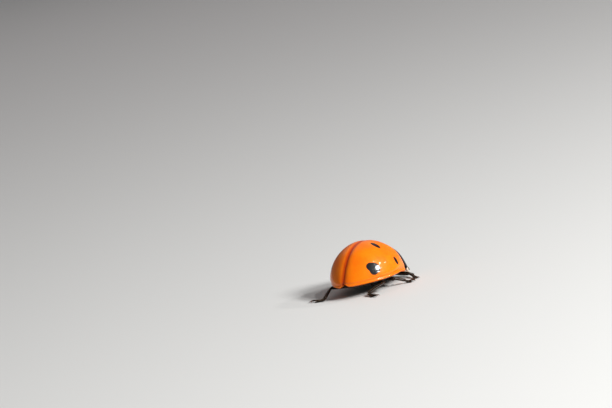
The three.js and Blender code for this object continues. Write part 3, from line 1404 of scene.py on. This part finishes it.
@dataclass
class Head:
    """The head, with its lip, its jaws and its jaw feelers."""

    centre: Vector = field(default_factory=lambda: at(3.36, 0, 1.04))
    radii: tuple[float, float, float] = (0.95, 0.56, 0.72)
    lip_centre: Vector = field(default_factory=lambda: at(3.72, 0, 0.5))
    lip_size: tuple[float, float, float] = (0.34, 0.17, 0.06)
    lip_bevel: float = 0.02
    lip_pitch: float = math.radians(48)
    lip_notch: Hump = Hump(0.035, 0.08)
    pitch: float = math.radians(20)
    shield: Hump = Hump(0.05, 0.17, -0.52)
    shield_seam: Hump = Hump(0.03, 0.035, -0.28)
    seam_bow: Hump = Hump(0.12, 0.3)
    brow: Hump = Hump(0.05, 0.14, 0.5)
    brow_level: Hump = Hump(1.0, 0.16, -0.12)
    chin: float = 0.4
    chin_level: float = -0.42
    jaw_root: Place = (0.36, 0.14, -0.14)
    jaw_turn: float = math.radians(-152)
    jaw_feeler_root: Place = (3.60, 0.42, 0.46)
    jaw_feeler_tip: Place = (3.98, 0.48, 0.24)

    def build(self, finish: Chitin) -> None:
        """Builds the head and its mouthparts.

        Args:
            finish: The head's finish.
        """
        finished(self._skull(), "skull", ["head"], finish.material())
        jaw_finish = Chitin(
            name="mouthparts",
            colour=(0.055, 0.020, 0.008),
            deep_colour=(0.020, 0.009, 0.005),
            roughness=0.35,
            coat=0.4,
            coat_roughness=0.15,
            pit_spacing=0.05,
            pit_depth=0.002,
        )
        material = jaw_finish.material()
        finished(joined([self._lip(), *self._jaws()]), "lip", ["labrum"], material)
        for side in Side:
            finished(self._jaw_feeler(side), f"jaw_feeler_{side.word}", [f"palp_{side.word}"], material)

    def _skull(self) -> bpy.types.Object:
        """The head's capsule: broad and flattened in front, with a raised shield over the mouth.

        Returns:
            The new piece.
        """
        piece = ball(39)
        settle(piece, Matrix.Diagonal((*self.radii, 1)))
        reshape(piece, self._face)
        return settle(piece, Matrix.Translation(self.centre) @ Matrix.Rotation(self.pitch, 4, "X"))

    def _face(self, place: Vector, normal: Vector) -> Vector:
        """Shapes the face, in the head's own frame.

        Args:
            place: A vertex's place.
            normal: The skin's normal there.

        Returns:
            The new place.
        """
        front = max(0.0, -normal.y)
        swell = self.shield.rise(place.z) * bump(place.x, 0.5)
        swell -= self.shield_seam.rise(place.z - self.seam_bow.rise(place.x)) * bump(place.x, 0.55)
        swell -= self.brow.rise(abs(place.x)) * self.brow_level.rise(place.z)
        chin = self.chin * max(0.0, self.chin_level - place.z) if place.y > -0.1 else 0.0
        return place + normal * front * swell + Vector((0, 0, chin))

    def _lip(self) -> bpy.types.Object:
        """The upper lip, a short broad plate with rounded corners and a hollow front edge.

        Returns:
            The new piece.
        """
        clear_selection()
        bpy.ops.mesh.primitive_cube_add(size=2)
        piece = bpy.context.object
        settle(piece, Matrix.Diagonal((*self.lip_size, 1)))
        with editing(piece, everything=True):
            bpy.ops.mesh.subdivide(number_cuts=5)
        rounded(piece, self.lip_bevel, angle=40)
        smooth(piece, 1)
        reshape(piece, self._curved_lip)
        return settle(piece, Matrix.Translation(self.lip_centre) @ Matrix.Rotation(self.lip_pitch, 4, "X"))

    def _curved_lip(self, place: Vector, _: Vector) -> Vector:
        """Rounds the lip's corners and bends its sides back.

        Args:
            place: A vertex's place.
            _: Its normal, which has no part in it.

        Returns:
            The new place.
        """
        narrow = 1 - 0.35 * max(0.0, -place.y / self.lip_size[1]) ** 2
        bend = place.x * place.x
        notch = self.lip_notch.rise(place.x) if place.y < 0 else 0.0
        return Vector((place.x * narrow, place.y + bend / 2 + notch, place.z - bend / 4))

    def _jaws(self) -> list[bpy.types.Object]:
        """The two curved jaws that meet under the lip.

        Returns:
            The left jaw and the right one.
        """
        rings = [
            Ring(0.0, 0.12, 0.09),
            Ring(0.15, 0.13, 0.09),
            Ring(0.30, 0.11, 0.07, across=-0.03),
            Ring(0.42, 0.07, 0.05, across=-0.09),
            Ring(0.50, 0.03, 0.03, across=-0.15),
        ]
        left = drawn_out(rings, sides=10, levels=2)
        root = self.lip_centre + Vector(self.jaw_root)
        settle(left, Matrix.Translation(root) @ Matrix.Rotation(self.jaw_turn, 4, "Z"))
        return [left, mirrored(left)]

    def _jaw_feeler(self, side: Side) -> bpy.types.Object:
        """A jaw feeler of three joints, the last one broad and blunt like a hatchet.

        Args:
            side: The side it is on.

        Returns:
            The new piece.
        """
        ends = (self.jaw_feeler_root, self.jaw_feeler_tip)
        root, tip = (at(forward, side.value * out, up) for forward, out, up in ends)
        stalk = [Ring(0, 0.05, 0.05), Ring(0.05, 0.08, 0.075), Ring(0.25, 0.085, 0.08), Ring(0.30, 0.05, 0.05)]
        second = [Ring(0.28, 0.05, 0.05), Ring(0.33, 0.085, 0.08), Ring(0.48, 0.10, 0.08), Ring(0.52, 0.06, 0.05)]
        last = [
            Ring(0.50, 0.05, 0.05),
            Ring(0.56, 0.09, 0.08),
            Ring(0.80, 0.14, 0.09),
            Ring(0.96, 0.15, 0.085),
            Ring(1.02, 0.10, 0.05),
        ]
        piece = joined([drawn_out(rings, sides=10, levels=2) for rings in (stalk, second, last)])
        return settle(piece, laid(root, tip))


@dataclass
class Eyes:
    """The two black faceted eyes at the sides of the head."""

    forward: float = 3.52
    out: float = 0.8
    up: float = 1.1
    radii: tuple[float, float, float] = (0.26, 0.26, 0.35)
    notch: Hump = Hump(0.07, 0.12, -0.12)

    def build(self) -> None:
        """Builds the left eye, and the right one as its mirror copy."""
        finish = Chitin(
            name="eye",
            colour=(0.004, 0.004, 0.005),
            deep_colour=(0.008, 0.006, 0.006),
            roughness=0.22,
            coat=0.6,
            coat_roughness=0.08,
            pit_spacing=0.036,
            pit_depth=0.0022,
            faceted=True,
        )
        left = ball(19)
        settle(left, Matrix.Diagonal((*self.radii, 1)))
        reshape(left, self._notched)
        settle(left, Matrix.Translation(at(self.forward, self.out, self.up)))
        finished_pair(left, "faceted_eye", "eye", finish.material())

    def _notched(self, place: Vector, _: Vector) -> Vector:
        """Presses in the notch that faces the feeler's root.

        Args:
            place: A vertex's place.
            _: Its normal, which has no part in it.

        Returns:
            The new place.
        """
        wide, long = self.radii[:2]
        nick = self.notch.rise(place.z) * max(0.0, -place.x / wide) * max(0.0, -place.y / long)
        return place + Vector((nick, nick, 0))


@dataclass
class Feelers:
    """The two feelers, each a row of eleven beads that ends in a club."""

    joints: tuple[tuple[float, float, float], ...] = (
        (3.74, 0.52, 0.98),
        (4.0, 0.8, 0.68),
        (4.06, 1.04, 0.48),
        (3.93, 1.22, 0.3),
    )
    beads: tuple[tuple[float, float], ...] = (
        (0.26, 0.125),
        (0.15, 0.095),
        (0.22, 0.078),
        (0.15, 0.072),
        (0.14, 0.072),
        (0.11, 0.075),
        (0.10, 0.08),
        (0.09, 0.082),
        (0.15, 0.1),
        (0.16, 0.122),
        (0.2, 0.115),
    )

    def build(self) -> None:
        """Builds the left feeler, and the right one as its mirror copy."""
        finish = Chitin(
            name="feeler",
            colour=(0.075, 0.028, 0.010),
            deep_colour=(0.035, 0.014, 0.007),
            roughness=0.45,
            coat=0.2,
            coat_roughness=0.25,
            pit_spacing=0.04,
            pit_depth=0.002,
            marks=(Mark(at(3.95, 1.22, 0.3), (0.45, 0.5, 0.5), (0.012, 0.007, 0.006), 0.3),),
        )
        finished_pair(self._row(), "feeler", "antenna", finish.material())

    def _row(self) -> bpy.types.Object:
        """The left feeler, its beads copied from one pattern.

        Returns:
            The new piece.
        """
        profile = ((-0.08, 0.5), (0.05, 0.74), (0.72, 1.0), (0.94, 0.95), (1.02, 0.6))
        pattern = drawn_out([Ring(along, half, half) for along, half in profile], sides=8)
        path = [at(*joint) for joint in self.joints]
        total = sum(length for length, _ in self.beads)
        made = []
        start = 0.0
        for length, width in self.beads:
            head, tail = self._along(path, start / total), self._along(path, (start + length) / total)
            matrix = laid(head, tail) @ Matrix.Diagonal((1, width, width, 1))
            made.append(settle(copied(pattern), matrix))
            start += length
        removed([pattern])
        return joined(made)

    @staticmethod
    def _along(path: Sequence[Vector], share: float) -> Vector:
        """The place at a share of the way along a path.

        Args:
            path: The corners of the path.
            share: How far along it, from 0 to 1.

        Returns:
            The place.
        """
        lengths = [(b - a).length for a, b in zip(path, path[1:])]
        left = share * sum(lengths)
        for (a, b), length in zip(zip(path, path[1:]), lengths):
            if left <= length:
                return a.lerp(b, left / length)
            left -= length
        return path[-1]


# ---- Hairs -------------------------------------------------------------------------------------

BAKE_MAP = "OFBake"
BAKE_PATCH = 0.003


def hair_pattern() -> bpy.types.Object:
    """One hair, a three-sided spike of length 1 along +X.

    Returns:
        The new piece.
    """
    clear_selection()
    bpy.ops.mesh.primitive_cone_add(vertices=3, radius1=1, radius2=0.12, depth=1, rotation=(0, math.pi / 2, 0))
    piece = bpy.context.object
    bpy.ops.object.transform_apply(location=True, rotation=True, scale=True)
    reshape(piece, lambda place, _: Vector((place.x + 0.5, place.y, place.z)))
    return piece


@dataclass(frozen=True)
class Hairs:
    """Short stiff hairs that stand out from a piece of skin, and lean one way."""

    count: int
    length: float
    half_width: float
    lean: Vector
    seed: int
    wanted: Callable[[Vector, Vector], bool] = lambda place, normal: True

    def on(self, skin: bpy.types.Object) -> bpy.types.Object:
        """Grows the hairs. The faces are put in order first, so that the same ones are drawn each time.

        Args:
            skin: The piece that they stand on, which is left as it is.

        Returns:
            All the hairs as one piece, each with its own patch of the bake map.
        """
        spread = copied(skin)
        with editing(spread, everything=True):
            bpy.ops.uv.smart_project(angle_limit=math.radians(60), island_margin=0.01)
        chance = random.Random(self.seed)
        mesh = spread.data
        fit = [face for face in mesh.polygons if self.wanted(face.center.copy(), face.normal.copy())]
        fit.sort(key=lambda face: tuple(round(part, 4) for part in face.center))
        chosen = chance.choices(fit, weights=[face.area for face in fit], k=self.count)
        uv = mesh.uv_layers.active.data
        pattern = hair_pattern()
        made = bmesh.new()
        layer = made.loops.layers.uv.new(BAKE_MAP)
        for face in chosen:
            patch = sum((uv[loop].uv for loop in face.loop_indices), Vector((0, 0))) / len(face.loop_indices)
            start = len(made.verts)
            made.from_mesh(pattern.data)
            made.verts.ensure_lookup_table()
            turn = self._matrix(face, chance)
            for vertex in made.verts[start:]:
                for loop in vertex.link_loops:
                    loop[layer].uv = patch + Vector((vertex.co.x - 0.5, vertex.co.y / 2)) * BAKE_PATCH
                vertex.co = turn @ vertex.co
        hairs = bpy.data.meshes.new("hairs")
        made.to_mesh(hairs)
        made.free()
        piece = bpy.data.objects.new("hairs", hairs)
        bpy.context.collection.objects.link(piece)
        removed([spread, pattern])
        return piece

    def _matrix(self, face: bpy.types.MeshPolygon, chance: random.Random) -> Matrix:
        """Stands one hair on a face.

        Args:
            face: The face.
            chance: The source of its stray and its length.

        Returns:
            The hair's matrix.
        """
        stray = Vector([chance.uniform(-0.25, 0.25) for _ in range(3)])
        along = (face.normal + self.lean + stray).normalized()
        length = self.length * chance.uniform(0.7, 1.2)
        root = face.center - face.normal * self.half_width
        size = Matrix.Diagonal((length, self.half_width, self.half_width, 1))
        return Matrix.Translation(root) @ along.to_track_quat("X", "Z").to_matrix().to_4x4() @ size


def hair_finish() -> Chitin:
    """The pale golden brown of the hairs.

    Returns:
        The finish.
    """
    return Chitin(
        name="hair",
        colour=(0.20, 0.13, 0.07),
        deep_colour=(0.11, 0.06, 0.03),
        roughness=0.45,
        coat=0.1,
        coat_roughness=0.3,
        pit_depth=0.0005,
    )


# ---- Legs --------------------------------------------------------------------------------------


@dataclass(frozen=True)
class Leg:
    """The joints of one leg: how far forward, how far out, and how high."""

    pair: Pair
    side: Side
    hip: Place
    knee: Place
    ankle: Place
    toe: tuple[float, float]

    @property
    def name(self) -> str:
        """The leg's name in the nodes."""
        return f"{self.pair.value}_{self.side.word}"

    def joint(self, place: Sequence[float]) -> Vector:
        """A joint on the leg's own side of the body."""
        forward, out, up = place
        return at(forward, self.side.value * out, up)


LEGS = (
    Leg(Pair.FRONT, Side.LEFT, FRONT_HIP, (3.1, 1.65, 0.22), (3.7, 2.35, 0.24), (4.0, 3.0)),
    Leg(Pair.FRONT, Side.RIGHT, FRONT_HIP, (2.95, 1.9, 0.22), (2.4, 2.6, 0.24), (2.05, 3.2)),
    Leg(Pair.MIDDLE, Side.LEFT, MIDDLE_HIP, (0.7, 2.4, 0.6), (1.2, 3.15, 0.24), (1.42, 3.85)),
    Leg(Pair.MIDDLE, Side.RIGHT, MIDDLE_HIP, (0.2, 2.35, 0.58), (0.95, 2.85, 0.24), (1.35, 3.35)),
    Leg(Pair.HIND, Side.LEFT, HIND_HIP, (-1.8, 2.2, 0.66), (-3.2, 1.95, 0.24), (-3.39, 3.05)),
    Leg(Pair.HIND, Side.RIGHT, HIND_HIP, (-1.1, 2.35, 0.66), (-2.4, 1.62, 0.24), (-2.68, 2.54)),
)


@dataclass
class Legs:
    """The six legs, copied from one pattern of each length."""

    sole: float = 0.16
    spur_root: Place = (0.94, 0.07, -0.07)
    spur_turn: float = math.radians(14)
    claw_root: Place = (0.94, 0.03, -0.01)
    claw_turn: float = math.radians(32)
    tooth_root: Place = (0.07, 0.0, -0.02)
    tooth_turn: float = math.radians(60)

    def build(self) -> None:
        """Builds the patterns and lays them from joint to joint."""
        finish = Chitin(
            name="leg",
            colour=(0.008, 0.006, 0.005),
            deep_colour=(0.020, 0.010, 0.006),
            roughness=0.4,
            coat=0.25,
            coat_roughness=0.2,
            pit_spacing=0.05,
            pit_depth=0.003,
        )
        material = finish.material()
        claw_finish = Chitin(
            name="claw",
            colour=(0.10, 0.030, 0.010),
            deep_colour=(0.05, 0.016, 0.007),
            roughness=0.3,
            coat=0.5,
            coat_roughness=0.1,
            pit_depth=0.0005,
        )
        claw_material = claw_finish.material()
        hair_material = hair_finish().material()
        thigh, shin, foot, claws = self._thigh(), self._shin(), self._foot(), self._claws()
        hairs = [
            Hairs(70, 0.09, 0.005, Vector((1.2, 0, 0)), seed=11, wanted=lambda p, n: p.x > 0.3).on(thigh),
            Hairs(150, 0.10, 0.006, Vector((1.1, 0, 0)), seed=12, wanted=lambda p, n: n.z > -0.5).on(shin),
            Hairs(170, 0.08, 0.006, Vector((0.9, 0, 0.1)), seed=13, wanted=lambda p, n: n.z > -0.25).on(foot),
        ]
        for leg in LEGS:
            hip, knee, ankle = (leg.joint(place) for place in (leg.hip, leg.knee, leg.ankle))
            heel = leg.joint((*leg.ankle[:2], self.sole))
            toe = leg.joint((*leg.toe, self.sole))
            lengths = (
                ("femur", thigh, laid(hip, knee)),
                ("tibia", shin, laid(knee, ankle)),
                ("tarsus", foot, laid(heel, toe)),
            )
            for word, pattern, matrix in lengths:
                piece = settle(copied(pattern), matrix)
                finished(piece, f"{word}_piece_{leg.name}", [f"{word}_{leg.name}"], material)
            tip = settle(copied(claws), laid(heel, toe))
            finished(tip, f"claws_{leg.name}", [f"tarsus_{leg.name}"], claw_material)
            coat = joined([settle(copied(hair), row[2]) for hair, row in zip(hairs, lengths)])
            nodes = [f"{row[0]}_{leg.name}" for row in lengths]
            finished(coat, f"leg_hairs_{leg.name}", nodes, hair_material)
        removed([thigh, shin, foot, claws, *hairs])

    @staticmethod
    def _spread(side: int, root: Place, turn: float) -> Matrix:
        """Places one of a pair of spurs or claws that spread apart.

        Args:
            side: 1 for the one on the left, -1 for the other.
            root: The left one's root.
            turn: How far the left one is turned outwards.

        Returns:
            The matrix.
        """
        along, across, up = root
        return Matrix.Translation((along, side * across, up)) @ Matrix.Rotation(side * turn, 4, "Z")

    def _thigh(self) -> bpy.types.Object:
        """The stout thigh, a length of 1 along +X.

        Returns:
            The new piece.
        """
        return drawn_out(
            [
                Ring(0.0, 0.12, 0.10),
                Ring(0.06, 0.17, 0.15),
                Ring(0.30, 0.22, 0.185),
                Ring(0.60, 0.22, 0.18),
                Ring(0.85, 0.18, 0.15),
                Ring(0.97, 0.14, 0.12),
                Ring(1.02, 0.07, 0.06),
            ],
            levels=2,
        )

    def _shin(self) -> bpy.types.Object:
        """The slender shin, widening to its end, with two short spurs.

        Returns:
            The new piece.
        """
        shin = drawn_out(
            [
                Ring(-0.02, 0.06, 0.06),
                Ring(0.03, 0.11, 0.10),
                Ring(0.12, 0.105, 0.095, up=0.015),
                Ring(0.45, 0.12, 0.105, up=0.02),
                Ring(0.80, 0.145, 0.12, up=0.01),
                Ring(0.96, 0.15, 0.12),
                Ring(1.0, 0.10, 0.08),
            ],
            levels=2,
        )
        spurs = []
        for side in (1, -1):
            spur = drawn_out([Ring(0.0, 0.022, 0.022), Ring(0.06, 0.02, 0.02), Ring(0.15, 0.004, 0.004)], sides=6)
            spurs.append(settle(spur, self._spread(side, self.spur_root, self.spur_turn)))
        return joined([shin, *spurs])

    def _foot(self) -> bpy.types.Object:
        """The foot: a triangular joint, a broad two-lobed one and a slender one.

        Returns:
            The new piece.
        """
        first = drawn_out(
            [
                Ring(-0.06, 0.07, 0.06, up=0.02),
                Ring(0.0, 0.10, 0.09, up=0.0),
                Ring(0.22, 0.15, 0.11, up=-0.04),
                Ring(0.32, 0.16, 0.09, up=-0.06),
                Ring(0.36, 0.11, 0.05, up=-0.07),
            ],
            levels=2,
        )
        lobes = []
        for side in (1, -1):
            lobe = drawn_out(
                [
                    Ring(0.28, 0.05, 0.05, across=side * 0.03, up=-0.05),
                    Ring(0.38, 0.10, 0.07, across=side * 0.07, up=-0.075),
                    Ring(0.56, 0.11, 0.07, across=side * 0.12, up=-0.085),
                    Ring(0.66, 0.09, 0.05, across=side * 0.14, up=-0.10),
                    Ring(0.70, 0.04, 0.03, across=side * 0.15, up=-0.11),
                ],
                sides=10,
                levels=2,
            )
            lobes.append(lobe)
        last = drawn_out(
            [
                Ring(0.34, 0.04, 0.04, up=-0.02),
                Ring(0.42, 0.06, 0.055, up=-0.01),
                Ring(0.75, 0.06, 0.055, up=0.0),
                Ring(0.95, 0.075, 0.07, up=-0.01),
                Ring(1.0, 0.05, 0.05, up=-0.02),
            ],
            sides=10,
            levels=2,
        )
        return joined([first, *lobes, last])

    def _claws(self) -> bpy.types.Object:
        """The two curved claws at the foot's end, each with a tooth at its root.

        Returns:
            The new piece.
        """
        claws = []
        for side in (1, -1):
            claw = drawn_out(
                [
                    Ring(0.0, 0.035, 0.045),
                    Ring(0.08, 0.035, 0.045),
                    Ring(0.18, 0.022, 0.03, up=-0.015),
                    Ring(0.26, 0.012, 0.016, up=-0.045),
                    Ring(0.30, 0.003, 0.004, up=-0.075),
                ],
                sides=8,
            )
            tooth = drawn_out([Ring(0.0, 0.03, 0.03), Ring(0.06, 0.022, 0.022), Ring(0.12, 0.004, 0.004)], sides=6)
            settle(tooth, Matrix.Translation(self.tooth_root) @ Matrix.Rotation(self.tooth_turn, 4, "Y"))
            claws.append(settle(joined([claw, tooth]), self._spread(side, self.claw_root, self.claw_turn)))
        return joined(claws)


# ---- Studio ------------------------------------------------------------------------------------


@dataclass(frozen=True)
class Lamp:
    """One soft light: where it comes from, how wide it looks, and how strong it is."""

    name: str
    towards: tuple[float, float, float]
    distance: float
    size: float
    watts: float
    colour: Colour = (1.0, 1.0, 1.0)


@dataclass
class Studio:
    """The pale floor, the soft lights and the camera."""

    floor_side: float = 3.0
    heading: float = math.radians(52.9)
    elevation: float = math.radians(9.98)
    roll: float = math.radians(11.97)
    distance: float = 0.23
    view_width: float = 0.046985
    target_shift: tuple[float, float] = (0.004654, -0.005621)
    film_width: float = 36.0
    floor_colour: Colour = (0.72, 0.72, 0.70)
    air_colour: Colour = (0.75, 0.76, 0.78)
    air_strength: float = 0.19
    lamps: tuple[Lamp, ...] = (
        Lamp("key", (-0.86, 0.06, 0.50), 0.25, 0.062, 0.66),
        Lamp("sky", (0.44, -0.55, 0.69), 0.3, 0.3, 0.08, (1.0, 0.88, 0.91)),
        Lamp("glint 1", (-0.668, -0.039, 0.743), 0.25, 0.012, 0.11),
        Lamp("glint 2", (-0.763, -0.188, 0.619), 0.25, 0.012, 0.12),
        Lamp("glint 3", (-0.724, -0.467, 0.508), 0.25, 0.011, 0.09),
    )

    def build(self) -> None:
        """Sets up the floor, the world, the lights and the camera."""
        self._floor()
        self._world()
        for lamp in self.lamps:
            self._lamp(lamp)
        self._camera()
        bpy.context.scene.view_settings.view_transform = "Standard"

    def _floor(self) -> None:
        """Lays a large pale floor at z = 0."""
        clear_selection()
        bpy.ops.mesh.primitive_plane_add(size=self.floor_side)
        floor = bpy.context.object
        floor.name = "studio_floor"
        desk = Desk("studio floor")
        desk.shader.inputs["Base Color"].default_value = (*self.floor_colour, 1)
        desk.shader.inputs["Roughness"].default_value = 0.8
        floor.data.materials.append(desk.material)

    def _world(self) -> None:
        """Gives an even pale surrounding."""
        world = bpy.data.worlds.new("studio")
        world.use_nodes = True
        background = world.node_tree.nodes["Background"]
        background.inputs["Color"].default_value = (*self.air_colour, 1)
        background.inputs["Strength"].default_value = self.air_strength
        bpy.context.scene.world = world

    def _lamp(self, lamp: Lamp) -> None:
        """Adds one round soft light that faces the insect.

        Args:
            lamp: The light.
        """
        away = Vector(lamp.towards).normalized()
        clear_selection()
        bpy.ops.object.light_add(type="AREA", location=away * lamp.distance)
        light = bpy.context.object
        light.name = lamp.name
        light.data.shape = "DISK"
        light.data.size = lamp.size
        light.data.energy = lamp.watts
        light.data.color = lamp.colour
        light.rotation_euler = away.to_track_quat("Z", "Y").to_euler()

    def _camera(self) -> None:
        """Sets the camera to the view's direction, roll and width."""
        right = Vector((-math.sin(self.heading), -math.cos(self.heading), 0))
        back = Vector(
            (
                -math.cos(self.heading) * math.cos(self.elevation),
                math.sin(self.heading) * math.cos(self.elevation),
                math.sin(self.elevation),
            )
        )
        up = back.cross(right)
        across = math.cos(self.roll) * right - math.sin(self.roll) * up
        upright = math.sin(self.roll) * right + math.cos(self.roll) * up
        centre = at(0, 0, MARGIN_HEIGHT) * MILLIMETRE
        target = centre - self.target_shift[0] * across - self.target_shift[1] * upright
        turn = Matrix((across, upright, back)).transposed().to_4x4()
        clear_selection()
        bpy.ops.object.camera_add()
        camera = bpy.context.object
        camera.name = "camera"
        camera.matrix_world = Matrix.Translation(target + back * self.distance) @ turn
        camera.data.sensor_width = self.film_width
        camera.data.lens = self.film_width * self.distance / self.view_width
        camera.data.clip_start = 0.001
        camera.data.clip_end = 10
        bpy.context.scene.camera = camera


def black_finish() -> Chitin:
    """The glossy black of the head and of the small triangle.

    Returns:
        The finish.
    """
    return Chitin(
        name="black shell",
        colour=BLACK,
        deep_colour=(0.010, 0.009, 0.011),
        roughness=0.34,
        coat=0.5,
        coat_roughness=0.12,
        pit_spacing=0.05,
        pit_depth=0.0012,
        marks=(Mark(at(3.72, 0.5, 1.28), (0.13, 0.3, 0.12), CREAM, 0.12, 0.1),),
    )


def main() -> None:
    """Builds the insect and its studio."""
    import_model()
    black = black_finish()
    WingCases().build()
    Scutellum().build(black)
    BackPlate().build()
    Underside().build()
    Head().build(black)
    Eyes().build()
    Feelers().build()
    Legs().build()
    Studio().build()


if __name__ == "__main__":
    logging.basicConfig(level=logging.INFO)
    main()
